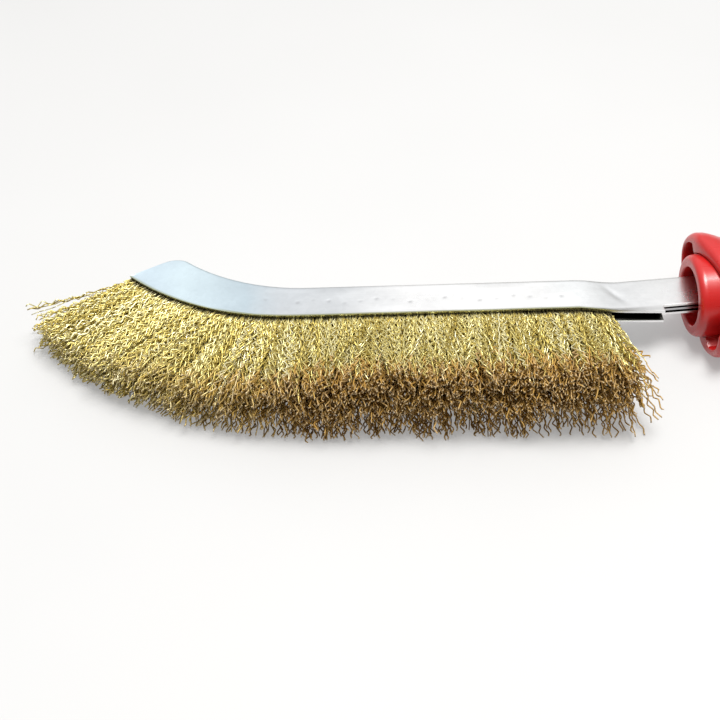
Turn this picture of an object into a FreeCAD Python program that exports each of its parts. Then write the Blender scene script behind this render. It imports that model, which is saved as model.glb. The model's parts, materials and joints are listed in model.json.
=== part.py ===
import FreeCAD, Part
import os
from math import cos, pi, radians, sin, sqrt

# Crimped-wire hand brush, lying on its side on a flat surface.
# A folded sheet-steel channel grips wires that are doubled over a core strip.
# The channel narrows to a shank, which is pressed into a moulded plastic handle.
#
# Brush frame (mm): X along the brush, 0 at the front of the handle's collar and positive
# towards the grip. Y across it, positive towards the channel's spine, so the wires point
# to -Y. Z is through the thickness. A last placement lays the brush on the plane z = 0.

V = FreeCAD.Vector
os.makedirs("parts", exist_ok=True)

# ---- driving dimensions ----------------------------------------------------
CLEAR = 0.04                # running clearance between neighbouring pieces

# channel
SHEET = 1.0                 # thickness of the folded steel
SPINE_Y = 7.0               # outside of the spine, above the handle's axis
LIP_Y = -7.6                # edge of the lips along the wired length
SPINE_HALF = 4.3            # half of the outside width at the spine
LIP_HALF = 3.3              # half of the outside width at the lips
FOLD_R = 1.6                # outside radius of the two folds
BEND_ANGLE = 43.0           # the tip curves up by this much, in degrees
SPINE_BEND_X = -140.0       # where the spine starts to curve
SPINE_BEND_R = 70.0
LIP_BEND_X = -145.0         # where the lips start to curve
LIP_BEND_R = 90.0
BEND_STEPS = 8
NOSE_R = 5.0                # the spine's corner at the tip is rounded off by this
NOSE_STEPS = 6
EVEN_X = -60.0              # beyond this the cross-sections are square to the spine
NECK_X = (-42.0, -25.0)     # the channel narrows to the shank between these
NOTCH_X = -12.5             # the lips are cut off here and only the shank goes on
NOTCH_LIP_Y = -11.5
NOTCH_LIP_HALF = 2.75

# shank
SHANK_HALF = 2.45           # half of its outside width
SHANK_LOW_Y = -8.1          # its open edge
SHANK_END_X = 84.0          # its end inside the handle
SWING_X = -30.0             # from here on the shank and the handle swing towards the spine
SWING = 4.5                 # by this, in degrees

# core strip
STRIP_THICK = 0.9
STRIP_TOP = 2.2             # its upper edge, below the outside of the spine
STRIP_DEPTH = 6.8           # along the wired length
STRIP_START_ANGLE = 3.0     # it begins this far round the bend from the tip, in degrees
STRIP_END_X = 80.0
STRIP_TAIL_Y = (-8.0, 5.8)  # between the walls of the shank

# wire bundles
BUNDLE_COUNT = 22
BUNDLE_END_X = -31.0        # last wires at the lips, towards the handle
WIRE_REACH = 45.0           # free length, from the lips to the tips
TIP_REACH = 38.0            # the same at the tip of the brush
REACH_CHANGE = 75.0         # length of lip over which it changes
FAN_ANGLE = 21.0            # the outer wires lean out by this much, in degrees
TIP_FAN_ANGLE = 0.0         # the upper ones do so by this much at the tip of the brush
FAN_CHANGE = 95.0           # length of lip over which that changes
ROOT_CLEAR = 0.15           # between the wires and the channel's walls
MOUTH_GAP = 0.2             # the wires spread out from this far below the lips
CROWN_SHARE = 0.4           # this share of the wires' ends lies on a flat crown
END_LEAN = 8.0              # the last wires lean towards the handle, in degrees
LEAN_LENGTH = 22.0          # length of lip over which that lean fades

# handle, in its own frame: X along its axis, 0 just behind the collar's front
HANDLE_DROP = 2.0           # its axis lies this far below the shank's middle line
GUARD_TURN = 14.0           # the guard's long axis is turned from Y by this, in degrees
COLLAR_R = 15.1
COLLAR_FRONT_X = -1.0
COLLAR_LENGTH = 14.0
COLLAR_ROUND = 1.5
BORE_R = 10.7
BORE_DEPTH = 26.0
SOCKET_DEPTH = 86.0         # bottom of the slot that the shank is pressed into
SOCKET_LEAD = 1.0           # the slot and the bore overlap by this much
POCKET_DEPTH = 9.0
POCKET_CENTRE = 11.0        # each hollow in the guard is half an ellipse round this radius
POCKET_HEIGHT = 10.8
POCKET_HALF = 8.2
HANG_X = 111.0
HANG_R = 4.0
TAB_THICK = 13.0            # the end of the grip is flat on both sides here
TAB_FROM_X = 104.5
# outline of guard and grip: place along X, half width along the guard, half thickness
HANDLE_STATIONS = [
    (2.4, 22.4, 14.6),
    (3.4, 23.8, 16.4),
    (4.8, 24.8, 18.0),
    (6.8, 24.6, 18.8),
    (9.0, 23.5, 18.8),
    (11.5, 22.0, 18.4),
    (14.5, 20.5, 17.9),
    (18.0, 18.8, 17.3),
    (24.0, 17.0, 16.2),
    (32.0, 15.8, 15.1),
    (42.0, 15.1, 14.4),
    (54.0, 15.1, 14.2),
    (72.0, 16.6, 15.0),
    (90.0, 16.2, 13.6),
    (100.0, 15.2, 11.0),
    (108.0, 14.2, 8.6),
    (115.0, 12.6, 7.3),
    (119.5, 10.0, 6.7),
    (122.0, 6.5, 5.5),
]

# rest
REST_PITCH = 1.6            # the handle's end is raised by this when the brush lies down

# ---- shared geometry ---------------------------------------------------------
AXIS_X = V(1, 0, 0)
AXIS_Y = V(0, 1, 0)
AXIS_Z = V(0, 0, 1)
ORIGIN = V(0, 0, 0)
BIG = 600.0
TINY = 1e-6
BEND = radians(BEND_ANGLE)
LIP_ARC = LIP_BEND_R * BEND


def arc_point(start_x, start_y, radius, angle):
    """A point on an arc that leaves the straight at (start_x, start_y) and curves up towards -X."""
    return V(start_x - radius * sin(angle), start_y + radius * (1 - cos(angle)), 0)


def blend(value, low, high):
    """0 below low, 1 above high, straight between."""
    return min(1.0, max(0.0, (value - low) / (high - low)))


def nose_drop(along):
    """How far the rounded corner at the tip takes the spine down."""
    left = max(0.0, NOSE_R - along)
    return NOSE_R - sqrt(NOSE_R ** 2 - left ** 2)


def nose_narrow(along):
    """The same corner's effect on the half width at the spine, as the walls converge."""
    return (SPINE_HALF - LIP_HALF) * nose_drop(along) / (SPINE_Y - LIP_Y)


def spine_half(x):
    return SPINE_HALF + (SHANK_HALF - SPINE_HALF) * blend(x, *NECK_X)


def lip_half(x):
    return LIP_HALF + (NOTCH_LIP_HALF - LIP_HALF) * blend(x, NECK_X[0], NOTCH_X)


def lip_y(x):
    return LIP_Y + (NOTCH_LIP_Y - LIP_Y) * blend(x, NECK_X[0], NOTCH_X)


def station(along):
    """Spine point, lip point and bend angle at a distance along the lips, from the tip."""
    if along < LIP_ARC:
        angle = BEND - along / LIP_BEND_R
        spine = arc_point(SPINE_BEND_X, SPINE_Y, SPINE_BEND_R, angle)
        lip = arc_point(LIP_BEND_X, LIP_Y, LIP_BEND_R, angle)
        down = lip - spine
        down.normalize()
        return spine + down * nose_drop(along), lip, angle
    x = LIP_BEND_X + along - LIP_ARC
    offset = (SPINE_BEND_X - LIP_BEND_X) * (1 - blend(x, LIP_BEND_X, EVEN_X))
    return V(x + offset, SPINE_Y, 0), V(x, lip_y(x), 0), 0.0


def along_at(x):
    """Distance along the lips of a place on the straight."""
    return LIP_ARC + x - LIP_BEND_X


def place(shape, turn):
    """Turn a shape about X."""
    moved = shape.copy()
    moved.rotate(ORIGIN, AXIS_X, turn)
    return moved


def swung(shape):
    """Swing a shape of the shank or the handle towards the spine."""
    moved = shape.copy()
    moved.rotate(V(SWING_X, 0, 0), AXIS_Z, SWING)
    return moved


# ---- channel and shank ---------------------------------------------------------
def sheet_section(spine, lip, half_spine, half_lip):
    """The folded sheet's cross-section: a U that opens towards the lip point."""
    down = lip - spine
    depth = down.Length
    down.normalize()
    inner_r = FOLD_R - SHEET
    corner = cos(pi / 4)

    def point(distance, z):
        return spine + down * distance + AXIS_Z * z

    def wall(side):
        """Outer and inner line of one wall, each from its fold to its lip."""
        outer = (point(FOLD_R, side * half_spine), point(depth, side * half_lip))
        inner = (point(FOLD_R, side * (half_spine - SHEET)), point(depth, side * (half_lip - SHEET)))
        return outer, inner

    def fold(side, radius):
        """The arc of one fold, from the wall to the spine."""
        centre = point(FOLD_R, side * (half_spine - FOLD_R))
        middle = centre + (AXIS_Z * side - down) * (radius * corner)
        return Part.Arc(centre + AXIS_Z * (side * radius), middle, centre - down * radius).toShape()

    outer_a, inner_a = wall(1)
    outer_b, inner_b = wall(-1)
    flat = half_spine - FOLD_R
    edges = [
        Part.makeLine(*outer_a),
        fold(1, FOLD_R),
        Part.makeLine(point(0, flat), point(0, -flat)),
        fold(-1, FOLD_R),
        Part.makeLine(*outer_b),
        Part.makeLine(outer_b[1], inner_b[1]),
        Part.makeLine(*inner_b),
        fold(-1, inner_r),
        Part.makeLine(point(SHEET, flat), point(SHEET, -flat)),
        fold(1, inner_r),
        Part.makeLine(*inner_a),
        Part.makeLine(inner_a[1], outer_a[1]),
    ]
    return Part.Wire(Part.__sortEdges__(edges))


def neck_section(x):
    """The cross-section of the straight channel, narrowing towards the shank."""
    return sheet_section(V(x, SPINE_Y, 0), V(x, lip_y(x), 0), spine_half(x), lip_half(x))


def channel():
    nose = [NOSE_R * (1 - cos(pi / 2 * step / NOSE_STEPS)) for step in range(NOSE_STEPS + 1)]
    bend = [NOSE_R + (LIP_ARC - TINY - NOSE_R) * step / BEND_STEPS for step in range(1, BEND_STEPS + 1)]
    sections = []
    for along in nose + bend:
        spine, lip, _ = station(along)
        sections.append(sheet_section(spine, lip, SPINE_HALF - nose_narrow(along), LIP_HALF))
    sections += [neck_section(EVEN_X), neck_section(NECK_X[0])]
    sections += [swung(neck_section(NECK_X[1])), swung(neck_section(NOTCH_X))]
    body = Part.makeLoft(sections, True, True)
    shank_ends = [
        swung(sheet_section(V(x, SPINE_Y, 0), V(x, SHANK_LOW_Y, 0), SHANK_HALF, SHANK_HALF))
        for x in (NOTCH_X, SHANK_END_X)
    ]
    return body.fuse(Part.makeLoft(shank_ends, True, True))


# ---- core strip ------------------------------------------------------------------
def strip(thickness, margin):
    """A flat strip, edge-bent with the channel, whose tail fills the depth of the shank."""
    top_r = SPINE_BEND_R + STRIP_TOP - margin
    low_r = top_r + STRIP_DEPTH + 2 * margin
    centre_y = SPINE_Y + SPINE_BEND_R
    angle = BEND - radians(STRIP_START_ANGLE) + margin / SPINE_BEND_R

    def on_arc(radius, turn):
        return V(SPINE_BEND_X - radius * sin(turn), centre_y - radius * cos(turn), 0)

    def on_tail(x, y):
        return swung(Part.Vertex(x, y, 0)).Point

    tail_low, tail_top = STRIP_TAIL_Y
    corners = [
        on_arc(top_r, 0),
        V(SWING_X, centre_y - top_r, 0),
        on_tail(NOTCH_X, centre_y - top_r),
        on_tail(NOTCH_X, tail_top),
        on_tail(STRIP_END_X, tail_top),
        on_tail(STRIP_END_X, tail_low),
        on_tail(NOTCH_X, tail_low),
        on_tail(NOTCH_X, centre_y - low_r),
        V(SWING_X, centre_y - low_r, 0),
        on_arc(low_r, 0),
    ]
    edges = [Part.makeLine(a, b) for a, b in zip(corners, corners[1:])]
    edges.append(Part.Arc(on_arc(low_r, 0), on_arc(low_r, angle / 2), on_arc(low_r, angle)).toShape())
    edges.append(Part.makeLine(on_arc(low_r, angle), on_arc(top_r, angle)))
    edges.append(Part.Arc(on_arc(top_r, angle), on_arc(top_r, angle / 2), on_arc(top_r, 0)).toShape())
    face = Part.Face(Part.Wire(Part.__sortEdges__(edges)))
    solid = face.extrude(AXIS_Z * thickness)
    solid.translate(AXIS_Z * (-thickness / 2))
    return solid


# ---- wire bundles ------------------------------------------------------------------
def wire_direction(along):
    """The way the middle wires point at a distance along the lips."""
    spine, lip, angle = station(along)
    down = lip - spine
    down.normalize()
    lean = radians(END_LEAN) * blend(along, along_at(BUNDLE_END_X) - LEAN_LENGTH, along_at(BUNDLE_END_X))
    way = down * blend(angle, 0, BEND / 2) + V(sin(lean - angle), -cos(lean - angle), 0)
    way.normalize()
    return way


def outline(upper, lower):
    """A closed outline from the places along its upper and its lower side, each with its height."""
    points = [p + AXIS_Z * z for p, z in upper] + [p + AXIS_Z * z for p, z in reversed(lower)]
    return Part.makePolygon(points + points[:1])


def root_section(along):
    """Outline of the wires inside the channel, from the spine to the lips."""
    spine, lip, _ = station(along)
    down = lip - spine
    down.normalize()
    gap = SHEET + ROOT_CLEAR
    root_half = spine_half(lip.x) - nose_narrow(along) - gap
    upper = [
        (spine + down * gap, root_half - FOLD_R + SHEET),
        (spine + down * FOLD_R, root_half),
        (lip + down * MOUTH_GAP, lip_half(lip.x) - gap),
    ]
    return outline(upper, [(p, -z) for p, z in upper])


def fan_section(along):
    """Outline of the wires outside the channel, from the lips to the tips."""
    spine, lip, _ = station(along)
    down = lip - spine
    down.normalize()
    mouth = lip + down * MOUTH_GAP
    way = wire_direction(along)
    reach = TIP_REACH + (WIRE_REACH - TIP_REACH) * blend(along, 0, REACH_CHANGE)
    top = radians(TIP_FAN_ANGLE + (FAN_ANGLE - TIP_FAN_ANGLE) * blend(along, 0, FAN_CHANGE))
    middle = (top - radians(FAN_ANGLE)) / 2
    spread = (top + radians(FAN_ANGLE)) / 2
    mouth_half = lip_half(lip.x) - SHEET - ROOT_CLEAR
    sides = []
    for side in (1, -1):
        line = [(mouth, side * mouth_half)]
        for share in (1, CROWN_SHARE):
            turn = middle + side * share * spread
            line.append((mouth + way * (reach * cos(turn)), side * mouth_half + reach * sin(turn)))
        sides.append(line)
    return outline(*sides)


def bundles(slot):
    """All the bundles, side by side along the lips, each straddling the core strip."""
    length = along_at(BUNDLE_END_X)
    pieces = []
    for index in range(BUNDLE_COUNT):
        low = length * index / BUNDLE_COUNT + CLEAR
        high = length * (index + 1) / BUNDLE_COUNT - CLEAR
        root = Part.makeLoft([root_section(low), root_section(high)], True, True)
        fan = Part.makeLoft([fan_section(low), fan_section(high)], True, True)
        pieces.append(root.fuse(fan).cut(slot))
    return pieces


# ---- handle ------------------------------------------------------------------------
def grip_form():
    """The smooth outer form of guard and grip."""
    wires = []
    for x, half_width, half_thick in HANDLE_STATIONS:
        centre = V(x, 0, 0)
        ends = (centre + AXIS_Y * half_width, centre + AXIS_Z * half_thick)
        wires.append(Part.Wire(Part.Ellipse(ends[0], ends[1], centre).toShape()))
    return Part.makeLoft(wires, True, False)


def guard_hollow():
    """The arched hollow in one lobe of the guard, outside the collar."""
    centre = V(0, POCKET_CENTRE, 0)
    rim = Part.Ellipse(centre + AXIS_Y * POCKET_HEIGHT, centre + AXIS_Z * POCKET_HALF, centre)
    arch = Part.Face(Part.Wire(rim.toShape())).extrude(AXIS_X * POCKET_DEPTH)
    return arch.cut(Part.makeCylinder(COLLAR_R, POCKET_DEPTH, ORIGIN, AXIS_X))


def handle():
    front = V(COLLAR_FRONT_X, 0, 0)
    body = grip_form()
    collar = Part.makeCylinder(COLLAR_R, COLLAR_LENGTH, front, AXIS_X)
    rim = [e for e in collar.Edges if abs(e.BoundBox.XMax - COLLAR_FRONT_X) < TINY and e.Length > COLLAR_R]
    body = body.fuse(collar.makeFillet(COLLAR_ROUND, rim[:1]))
    hollow = guard_hollow()
    flat = Part.makeBox(BIG, BIG, BIG, V(TAB_FROM_X, -BIG / 2, TAB_THICK / 2))
    for turn in (0.0, 180.0):
        body = body.cut(place(hollow, turn))
        body = body.cut(place(flat, turn))
    body = body.cut(Part.makeCylinder(HANG_R, BIG, V(HANG_X, 0, -BIG / 2), AXIS_Z))
    body = place(body, GUARD_TURN)
    body = body.cut(Part.makeCylinder(BORE_R, BORE_DEPTH - COLLAR_FRONT_X, front, AXIS_X))
    height = SPINE_Y - SHANK_LOW_Y + 2 * CLEAR
    width = 2 * (SHANK_HALF + CLEAR)
    socket_x = BORE_DEPTH - SOCKET_LEAD
    corner = V(socket_x, HANDLE_DROP + SHANK_LOW_Y - CLEAR, -width / 2)
    body = body.cut(Part.makeBox(SOCKET_DEPTH - socket_x, height, width, corner))
    body.translate(AXIS_Y * -HANDLE_DROP)
    return swung(body)


# ---- the brush, laid down -------------------------------------------------------------
def main():
    nodes = {
        "brush_channel": channel(),
        "core_strip": strip(STRIP_THICK, 0.0),
        "handle": handle(),
    }
    slot = strip(STRIP_THICK + 2 * CLEAR, CLEAR)
    for index, solid in enumerate(bundles(slot)):
        nodes["wire_bundle_%02d" % (index + 1)] = solid

    for shape in nodes.values():
        shape.rotate(ORIGIN, AXIS_Y, -REST_PITCH)
    low = nodes["handle"].optimalBoundingBox(False, False).ZMin
    for shape in nodes.values():
        shape.translate(AXIS_Z * -low)
    floor = Part.makeBox(2 * BIG, 2 * BIG, BIG, V(-BIG, -BIG, -BIG))
    for name in nodes:
        if name.startswith("wire_bundle"):
            nodes[name] = nodes[name].cut(floor)
    box = Part.makeCompound(list(nodes.values())).optimalBoundingBox(False, False)
    shift = V(-(box.XMin + box.XMax) / 2, -(box.YMin + box.YMax) / 2, 0)
    for name, shape in nodes.items():
        shape.translate(shift)
        solid = shape.Solids[0] if len(shape.Solids) == 1 else shape
        solid.exportStep("parts/%s.step" % name)
        print("%-16s %d solid, %.1f mm3, valid %s" % (name, len(shape.Solids), shape.Volume, shape.isValid()))
    print("shift", tuple(round(v, 4) for v in shift), "height", round(-low, 4))
    print("box", [round(v, 2) for v in (box.XLength, box.YLength, box.ZMin, box.ZMax)])


main()
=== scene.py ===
import json
from math import cos, pi, radians, sin

import bmesh
import bpy
import numpy as np
from mathutils import Matrix, Vector


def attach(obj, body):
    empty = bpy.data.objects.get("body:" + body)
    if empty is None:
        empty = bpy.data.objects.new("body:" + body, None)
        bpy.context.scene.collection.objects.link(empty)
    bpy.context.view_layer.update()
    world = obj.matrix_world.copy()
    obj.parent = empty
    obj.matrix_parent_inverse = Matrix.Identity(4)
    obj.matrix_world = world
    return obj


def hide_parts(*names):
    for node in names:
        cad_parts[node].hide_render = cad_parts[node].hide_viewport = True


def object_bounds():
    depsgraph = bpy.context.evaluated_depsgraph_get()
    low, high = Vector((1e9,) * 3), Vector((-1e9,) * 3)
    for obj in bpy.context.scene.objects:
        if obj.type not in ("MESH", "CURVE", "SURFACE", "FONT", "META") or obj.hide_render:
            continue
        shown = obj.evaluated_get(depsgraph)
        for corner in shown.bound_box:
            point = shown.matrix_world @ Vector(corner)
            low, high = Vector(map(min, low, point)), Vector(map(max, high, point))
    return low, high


# A crimped-wire hand brush lying on its side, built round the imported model.
# Lengths are in millimetres in the brush's own frame: X along the brush, 0 at the front of the
# handle's collar and positive towards the grip, Y towards the channel's spine, Z through the
# thickness. in_row() turns them into metres in the row's frame.

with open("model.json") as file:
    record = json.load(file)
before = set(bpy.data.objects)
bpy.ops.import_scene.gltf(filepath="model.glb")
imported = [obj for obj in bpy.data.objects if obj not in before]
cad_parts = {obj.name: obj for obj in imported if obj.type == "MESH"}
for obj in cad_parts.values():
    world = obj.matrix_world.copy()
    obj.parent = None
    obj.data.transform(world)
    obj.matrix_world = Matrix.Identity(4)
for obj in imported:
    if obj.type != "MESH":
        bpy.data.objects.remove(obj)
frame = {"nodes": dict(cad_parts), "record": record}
cad_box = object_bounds()
RNG = np.random.default_rng(11)
MM = 0.001

# ---- the brush's dimensions, as in the model ----
SHEET = 1.0                 # thickness of the folded sheet
SPINE_Y = 7.0               # the closed side of the channel
LIP_Y = -7.6                # the two edges that hold the wires
SPINE_HALF = 4.3            # half the channel's width at the spine, and at the lips
LIP_HALF = 3.3
FOLD_R = 1.6
BEND = radians(43.0)        # how far the tip is bent up
SPINE_BEND_X = -140.0
SPINE_BEND_R = 70.0
LIP_BEND_X = -145.0
LIP_BEND_R = 90.0
LIP_ARC = LIP_BEND_R * BEND
EVEN_X = -60.0              # from here on, spine and lips are measured at the same X
NECK_X = (-42.0, -25.0)     # the channel narrows to the shank between these
NOTCH_X = -12.5             # the lips end here, below the shank
NOTCH_LIP_Y = -11.5
NOTCH_LIP_HALF = 2.75
SHANK_HALF = 2.45
SHANK_LOW_Y = -8.1
SHANK_END_X = 84.0
SWING_X = -30.0             # shank and handle swing towards the spine about this place
SWING = radians(4.5)
HANDLE_DROP = 2.0           # the handle's middle lies this far below the channel's
STRIP_HALF = 0.45
STRIP_TOP = 2.2             # the core strip's depth below the spine
BUNDLE_END_X = -31.0
NOSE_R = 5.0                # rounding of the spine at the tip
HANG_X = 111.0
HANG_R = 4.0
TAB_HALF = 6.5              # half thickness of the flat end round the hanging hole
GUARD_TURN = radians(14.0)  # the guard's turn about the handle
REST_PITCH = radians(1.6)   # the brush rests on its guard and its wires


def swung(points):
    """Swings points of the shank or the handle towards the spine, as the model does."""
    points = np.array(points, float)
    x, y = points[..., 0] - SWING_X, points[..., 1].copy()
    points[..., 0] = SWING_X + x * cos(SWING) - y * sin(SWING)
    points[..., 1] = x * sin(SWING) + y * cos(SWING)
    return points


def brush_placement():
    """The brush frame's place in the row's frame, from the hanging hole's mount."""
    mount = next(m for m in frame["record"]["mounts"] if m["name"] == "hang_hole")
    turn = Matrix.Rotation(-REST_PITCH, 4, "Y")
    hole = Vector(swung([HANG_X, -HANDLE_DROP, 0.0])) * MM
    return np.array(Matrix.Translation(Vector(mount["pos_m"]) - turn @ hole) @ turn)


PLACE = brush_placement()


def in_row(points):
    """Brush-frame millimetres to row-frame metres."""
    return np.asarray(points) * MM @ PLACE[:3, :3].T + PLACE[:3, 3]


def blend(value, low, high):
    """0 below low, 1 above high, straight between."""
    return np.clip((np.asarray(value, float) - low) / (high - low), 0, 1)


def ramp(value, low, high):
    """0 below low, 1 above high, smooth between."""
    t = blend(value, low, high)
    return t * t * (3 - 2 * t)


def unit(vectors):
    """Vectors of the same directions and length 1."""
    return vectors / np.linalg.norm(vectors, axis=-1, keepdims=True)


# ---- meshes ----
def linked(name, data):
    """A new object in the scene that shows a mesh, a lamp or a camera."""
    obj = bpy.data.objects.new(name, data)
    bpy.context.scene.collection.objects.link(obj)
    return obj


def mesh_object(name, points, faces, material, replaced=()):
    """A new piece from row-frame points and a list of faces."""
    mesh = bpy.data.meshes.new(name)
    mesh.from_pydata([tuple(p) for p in points], [], faces)
    return finish_piece(linked(name, mesh), material, replaced)


def finish_piece(obj, material, replaced):
    """Gives a piece its material, its body and the nodes that it stands for."""
    obj.data.materials.clear()
    obj.data.materials.append(material)
    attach(obj, "root")
    if replaced:
        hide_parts(*replaced)
    return obj


def apply_modifiers(obj):
    """Makes what the modifiers show the object's own mesh."""
    graph = bpy.context.evaluated_depsgraph_get()
    mesh = bpy.data.meshes.new_from_object(obj.evaluated_get(graph))
    obj.modifiers.clear()
    old, obj.data = obj.data, mesh
    bpy.data.meshes.remove(old)


def tidy_mesh(obj, merge, sharp):
    """Merges coincident points, turns the faces outwards and smooths all but the sharp edges."""
    work = bmesh.new()
    work.from_mesh(obj.data)
    bmesh.ops.remove_doubles(work, verts=work.verts, dist=merge)
    bmesh.ops.dissolve_degenerate(work, edges=work.edges, dist=merge / 2)
    bmesh.ops.recalc_face_normals(work, faces=work.faces)
    work.to_mesh(obj.data)
    work.free()
    obj.data.polygons.foreach_set("use_smooth", np.ones(len(obj.data.polygons), bool))
    obj.data.set_sharp_from_angle(angle=sharp)


# ---- materials ----
def new_material(name):
    """A material, its nodes, its links and its shader."""
    material = bpy.data.materials.new(name)
    material.use_nodes = True
    nodes = material.node_tree.nodes
    return material, nodes, material.node_tree.links, nodes["Principled BSDF"]


def add(nodes, kind, **values):
    """A node, with its properties and the values of its inputs set."""
    node = nodes.new(kind)
    for key, value in values.items():
        if hasattr(node, key):
            setattr(node, key, value)
        else:
            node.inputs[key.replace("_", " ").title()].default_value = value
    return node


def colour_ramp(nodes, links, value, stops):
    """The colour that a value has between stops, each a place and a colour."""
    node = nodes.new("ShaderNodeValToRGB")
    elements = node.color_ramp.elements
    while len(elements) < len(stops):
        elements.new(0.5)
    for element, (place, colour) in zip(elements, stops):
        element.position = place
        element.color = (*colour, 1)
    links.new(value, node.inputs["Fac"])
    return node.outputs["Color"]


def attribute(nodes, name):
    """A value that the mesh's points carry."""
    return add(nodes, "ShaderNodeAttribute", attribute_name=name).outputs["Fac"]


def total(nodes, links, first, second):
    """The sum of two values."""
    node = nodes.new("ShaderNodeMath")
    node.operation = "ADD"
    links.new(first, node.inputs[0])
    links.new(second, node.inputs[1])
    return node.outputs["Value"]


def scaled_coordinates(nodes, links, scale):
    """Object coordinates, stretched."""
    where = nodes.new("ShaderNodeTexCoord")
    stretch = nodes.new("ShaderNodeMapping")
    stretch.inputs["Scale"].default_value = scale
    links.new(where.outputs["Object"], stretch.inputs["Vector"])
    return stretch.outputs["Vector"]


def noise(nodes, links, scale, detail=3.0, roughness=0.5, stretch=(1, 1, 1)):
    """Cloudy noise, from 0 to 1."""
    node = add(nodes, "ShaderNodeTexNoise", scale=scale, detail=detail, roughness=roughness)
    links.new(scaled_coordinates(nodes, links, stretch), node.inputs["Vector"])
    return node.outputs["Fac"]


def mix_colour(nodes, links, kind, factor, first, second):
    """Two colours mixed; each of them, and the factor, is a value or another node's output."""
    node = nodes.new("ShaderNodeMix")
    node.data_type = "RGBA"
    node.blend_type = kind
    sockets = (node.inputs["Factor"], node.inputs[6], node.inputs[7])
    for socket, value in zip(sockets, (factor, first, second)):
        if isinstance(value, bpy.types.NodeSocket):
            links.new(value, socket)
        else:
            socket.default_value = value if socket.type == "VALUE" else (*value, 1)
    return node.outputs[2]


def tinted(nodes, links, colour, tint):
    """A colour multiplied by a tint."""
    return mix_colour(nodes, links, "MULTIPLY", 1.0, colour, tint)


def covered(nodes, links, share, colour, cover):
    """A colour with a share of it covered by another."""
    return mix_colour(nodes, links, "MIX", share, colour, cover)


def map_range(nodes, links, value, low, high, to_low, to_high):
    """A value moved from one range to another."""
    node = nodes.new("ShaderNodeMapRange")
    links.new(value, node.inputs["Value"])
    for name, number in (("From Min", low), ("From Max", high), ("To Min", to_low), ("To Max", to_high)):
        node.inputs[name].default_value = number
    return node.outputs["Result"]


def bump(nodes, links, height, distance, strength, normal=None):
    """A surface normal that follows a height, on top of another bump if one is given."""
    node = nodes.new("ShaderNodeBump")
    node.inputs["Distance"].default_value = distance
    node.inputs["Strength"].default_value = strength
    links.new(height, node.inputs["Height"])
    if normal is not None:
        links.new(normal, node.inputs["Normal"])
    return node.outputs["Normal"]


# colours of the bare and worn surfaces, with painted reflection on the lips and painted shade at the
# wires' roots and ends
DULL_ZINC = (0.32, 0.32, 0.33)
# the olive colour along the lips is a painted reflection of the brass wires
LIP_BRASS_REFLECTION = (0.30, 0.31, 0.15)
# the browning of the wires' ends is rust and painted shade, the end face of the fan being in shade
RUST_AND_SHADE = (0.37, 0.19, 0.035)
# the dark colour at the wires' roots is painted shade, the shadow under the channel's lip
PAINTED_ROOT_SHADE = (0.09, 0.075, 0.035)
CUT_END = (0.46, 0.37, 0.24)
BRASS = [
    (0.0, (0.36, 0.275, 0.06)),
    (0.3, (0.60, 0.49, 0.145)),
    (0.7, (0.77, 0.69, 0.31)),
    (1.0, (0.90, 0.86, 0.59)),
]
RED = [(0.3, (0.35, 0.005, 0.005)), (0.7, (0.43, 0.008, 0.007))]
# painted reflection and light along the zinc, from the tip, 0, to the handle's end, 1: bluish at the
# tip, greyer, then bright
PAINTED_REFLECTION_TINTS = [
    (0.11, (0.67, 0.79, 0.87)),
    (0.145, (0.74, 0.87, 0.93)),
    (0.20, (0.58, 0.68, 0.74)),
    (0.25, (0.65, 0.68, 0.71)),
    (0.30, (0.64, 0.66, 0.68)),
    (0.37, (0.91, 0.91, 0.91)),
    (0.41, (0.94, 0.94, 0.94)),
    (0.46, (0.86, 0.86, 0.86)),
    (0.51, (0.86, 0.86, 0.86)),
    (0.54, (0.83, 0.845, 0.85)),
    (0.575, (0.80, 0.81, 0.82)),
    (0.62, (0.88, 0.88, 0.88)),
]
PLAIN_TINTS = [(0.0, (1, 1, 1)), (1.0, (0.9, 0.9, 0.92))]
TINT_DRIFT = 0.006          # metres that the edges of the tints wander


def tint_along(nodes, links, tints):
    """A tint that changes along the length of the brush."""
    where = nodes.new("ShaderNodeTexCoord")
    split = nodes.new("ShaderNodeSeparateXYZ")
    links.new(where.outputs["Object"], split.inputs["Vector"])
    drift = map_range(nodes, links, noise(nodes, links, 30, 3), 0.3, 0.7, -TINT_DRIFT, TINT_DRIFT)
    place = total(nodes, links, split.outputs["X"], drift)
    along = map_range(nodes, links, place, cad_box[0][0], cad_box[1][0], 0, 1)
    return colour_ramp(nodes, links, along, tints)


def spangle(nodes, links):
    """The faint facets of a zinc coat."""
    cells = add(nodes, "ShaderNodeTexVoronoi", scale=700.0)
    links.new(scaled_coordinates(nodes, links, (1, 1, 1)), cells.inputs["Vector"])
    return map_range(nodes, links, cells.outputs["Color"], 0, 1, 0.97, 1.02)


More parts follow.
